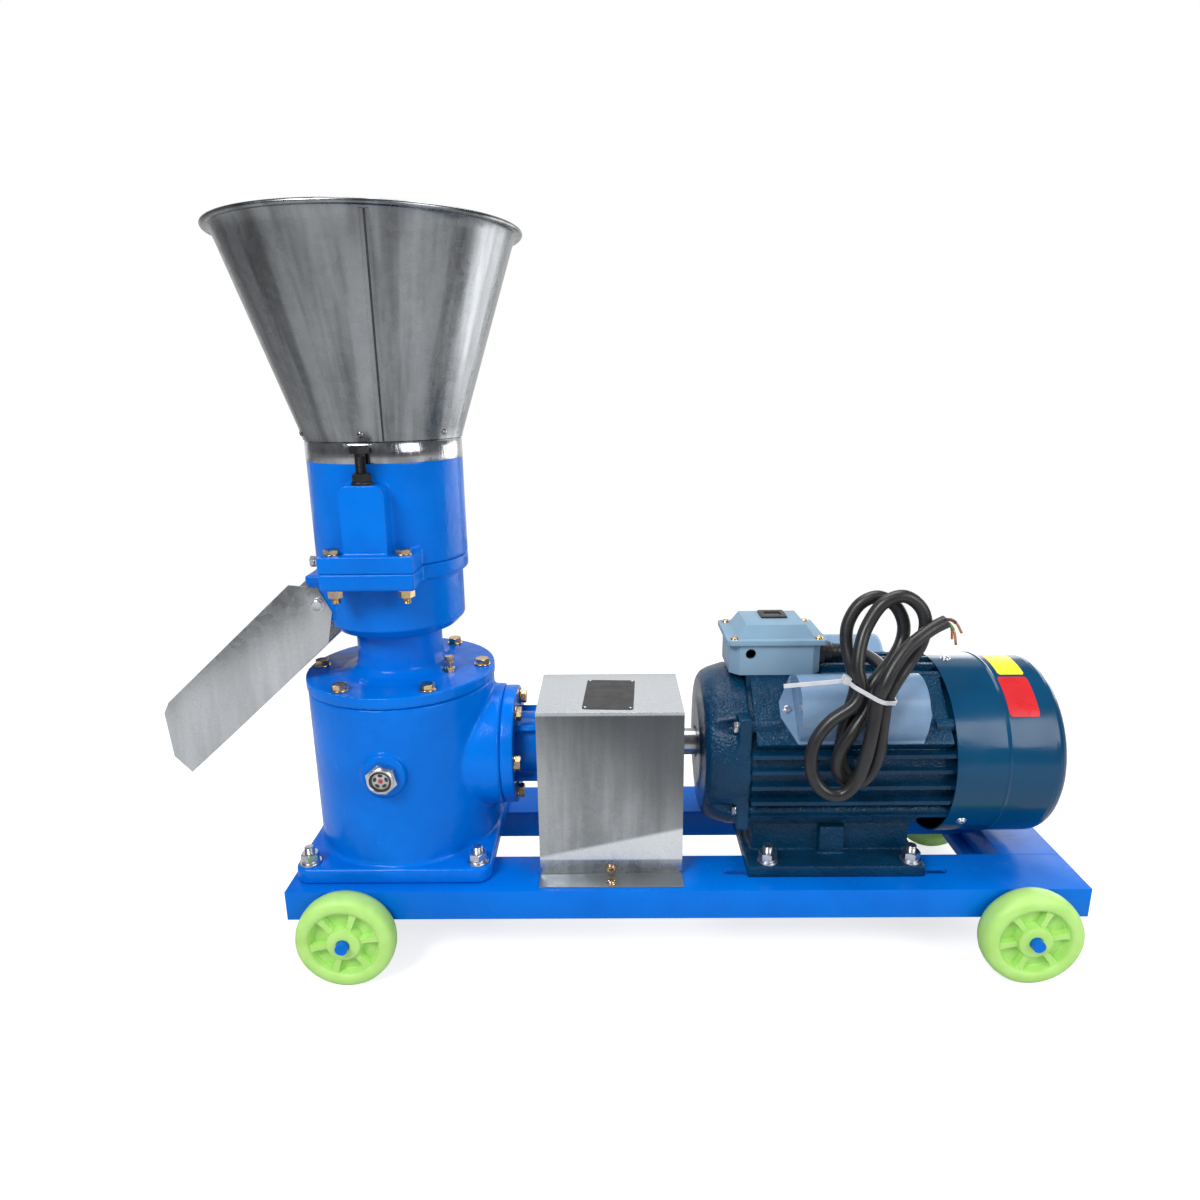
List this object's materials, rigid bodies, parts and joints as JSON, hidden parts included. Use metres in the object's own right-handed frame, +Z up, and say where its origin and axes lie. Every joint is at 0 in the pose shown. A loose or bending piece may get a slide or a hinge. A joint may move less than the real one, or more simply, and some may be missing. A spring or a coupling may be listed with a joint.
{
  "type": "flat-die feed pellet mill",
  "caption": "Small flat-die feed pellet mill on a wheeled frame: hopper, die chamber with press rollers, bevel gearbox, guarded coupling, electric motor and sloping discharge chute.",
  "frame": {"origin": "middle of the whole part's box, on the floor under the wheels", "axes": "+X along the frame from the chute to the fan cowl, +Y from the front rail to the rear rail, +Z up"},
  "size_m": [0.9142, 0.2844, 0.7039],
  "materials": {
    "machine_paint": "gloss enamel over rough castings",
    "motor_paint": "gloss enamel over a cast fin body",
    "box_paint": "semi-gloss paint",
    "galvanised_sheet": "bright galvanised sheet",
    "bright_zinc": "bright zinc plate",
    "yellow_zinc": "yellow zinc plate and brass",
    "black_oxide": "black oxide",
    "turned_steel": "turned steel",
    "gear_steel": "machined alloy steel",
    "coupling_iron": "cast iron",
    "spider_rubber": "matte polyurethane",
    "wheel_plastic": "moulded plastic",
    "black_plastic": "moulded plastic",
    "black_rubber": "rubber sheath",
    "copper": "stripped copper and insulation",
    "nylon": "natural nylon",
    "cover_plastic": "clear moulded plastic",
    "capacitor_shell": "moulded shell",
    "sight_plastic": "moulded lens"
  },
  "bodies": {
    "machine": {"chassis_frame": "machine_paint", "axles": "machine_paint", "gearbox_housing": "machine_paint", "lower_housing": "machine_paint", "upper_housing": "machine_paint", "gearbox_cover_bolts": "yellow_zinc", "clamp_bolts": "yellow_zinc", "mounting_bolts": "bright_zinc", "breather_plug": "yellow_zinc", "sight_glass_nut": "bright_zinc", "sight_glass_lens": "sight_plastic", "hopper": "galvanised_sheet", "chute_screws": "bright_zinc", "cutter_screw": "bright_zinc", "ball_bearings": "turned_steel", "oil_seals": "black_rubber", "adjusting_lock_nuts": "black_oxide", "input_housing": "machine_paint", "input_housing_bolts": "yellow_zinc", "guard_cover": "galvanised_sheet", "guard_screws": "yellow_zinc", "motor_housing": "motor_paint", "motor_stator": "turned_steel", "drive_end_shield": "motor_paint", "rear_end_shield": "motor_paint", "motor_screws": "bright_zinc", "fan_cover": "motor_paint", "motor_cradle": "motor_paint", "terminal_box": "box_paint", "terminal_lid": "box_paint", "lid_screws": "yellow_zinc", "lid_window_frame": "black_plastic", "capacitor_covers": "cover_plastic", "capacitors": "capacitor_shell", "cable_gland": "black_plastic", "power_cord": "black_rubber", "cord_cores": "copper", "cord_tie": "nylon"},
    "motor_train": {"motor_rotor": "turned_steel", "cooling_fan": "black_plastic", "motor_coupling_hub": "coupling_iron", "coupling_spider": "spider_rubber"},
    "input_train": {"input_shaft": "turned_steel", "bevel_pinion": "gear_steel", "gearbox_coupling_hub": "coupling_iron"},
    "die_train": {"main_shaft": "turned_steel", "crown_gear": "gear_steel", "flat_die": "gear_steel", "die_nut": "turned_steel", "discharge_disc": "turned_steel"},
    "roller_carrier": {"roller_shaft": "turned_steel"},
    "front_roller_body": {"front_roller": "gear_steel"},
    "rear_roller_body": {"rear_roller": "gear_steel"},
    "front_adjuster": {"front_adjusting_bolt": "black_oxide"},
    "rear_adjuster": {"rear_adjusting_bolt": "black_oxide"},
    "chute": {"discharge_chute": "galvanised_sheet"},
    "front_left_wheel_body": {"front_left_wheel": "wheel_plastic"},
    "front_right_wheel_body": {"front_right_wheel": "wheel_plastic"},
    "rear_left_wheel_body": {"rear_left_wheel": "wheel_plastic"},
    "rear_right_wheel_body": {"rear_right_wheel": "wheel_plastic"}
  },
  "joints": [
    {"name": "front_left_wheel_spin", "type": "hinge", "parent": "machine", "child": "front_left_wheel_body", "pos_m": [-0.26691, -0.1242, 0.0485], "axis": [0, 1, 0], "continuous": true},
    {"name": "front_right_wheel_spin", "type": "hinge", "parent": "machine", "child": "front_right_wheel_body", "pos_m": [0.39509, -0.1242, 0.0485], "axis": [0, 1, 0], "continuous": true},
    {"name": "rear_left_wheel_spin", "type": "hinge", "parent": "machine", "child": "rear_left_wheel_body", "pos_m": [-0.26691, 0.1138, 0.0485], "axis": [0, 1, 0], "continuous": true},
    {"name": "rear_right_wheel_spin", "type": "hinge", "parent": "machine", "child": "rear_right_wheel_body", "pos_m": [0.39509, 0.1138, 0.0485], "axis": [0, 1, 0], "continuous": true},
    {"name": "motor_spin", "type": "hinge", "parent": "machine", "child": "motor_train", "pos_m": [0.27109, 0.0018, 0.1955], "axis": [1, 0, 0], "continuous": true},
    {"name": "input_spin", "type": "hinge", "parent": "machine", "child": "input_train", "pos_m": [-0.09891, 0.0018, 0.1955], "axis": [1, 0, 0], "continuous": true},
    {"name": "die_spin", "type": "hinge", "parent": "machine", "child": "die_train", "pos_m": [-0.22591, 0.0018, 0.3395], "axis": [0, 0, 1], "continuous": true},
    {"name": "roller_gap", "type": "slide", "parent": "machine", "child": "roller_carrier", "axis": [0, 0, 1], "range_m": [0, 0.002]},
    {"name": "front_roller_spin", "type": "hinge", "parent": "roller_carrier", "child": "front_roller_body", "pos_m": [-0.22591, -0.0252, 0.4345], "axis": [0, 1, 0], "continuous": true},
    {"name": "rear_roller_spin", "type": "hinge", "parent": "roller_carrier", "child": "rear_roller_body", "pos_m": [-0.22591, 0.0288, 0.4345], "axis": [0, 1, 0], "continuous": true},
    {"name": "front_adjuster_turn", "type": "hinge", "parent": "roller_carrier", "child": "front_adjuster", "pos_m": [-0.22591, -0.0822, 0.4795], "axis": [0, 0, 1], "range_deg": [0, 480]},
    {"name": "rear_adjuster_turn", "type": "hinge", "parent": "roller_carrier", "child": "rear_adjuster", "pos_m": [-0.22591, 0.0858, 0.4795], "axis": [0, 0, 1], "range_deg": [0, 480]},
    {"name": "chute_tilt", "type": "hinge", "parent": "machine", "child": "chute", "pos_m": [-0.29031, 0.0018, 0.3632], "axis": [0, 1, 0], "range_deg": [-2, 2]}
  ],
  "couplings": [
    {"joint": "input_spin", "follows": "motor_spin", "ratio": 1},
    {"joint": "die_spin", "follows": "motor_spin", "ratio": 0.3125},
    {"joint": "front_roller_spin", "follows": "motor_spin", "ratio": -0.28125},
    {"joint": "rear_roller_spin", "follows": "motor_spin", "ratio": 0.28125},
    {"joint": "front_adjuster_turn", "follows": "roller_gap", "rad_per_m": 4188.8},
    {"joint": "rear_adjuster_turn", "follows": "roller_gap", "rad_per_m": 4188.8}
  ]
}
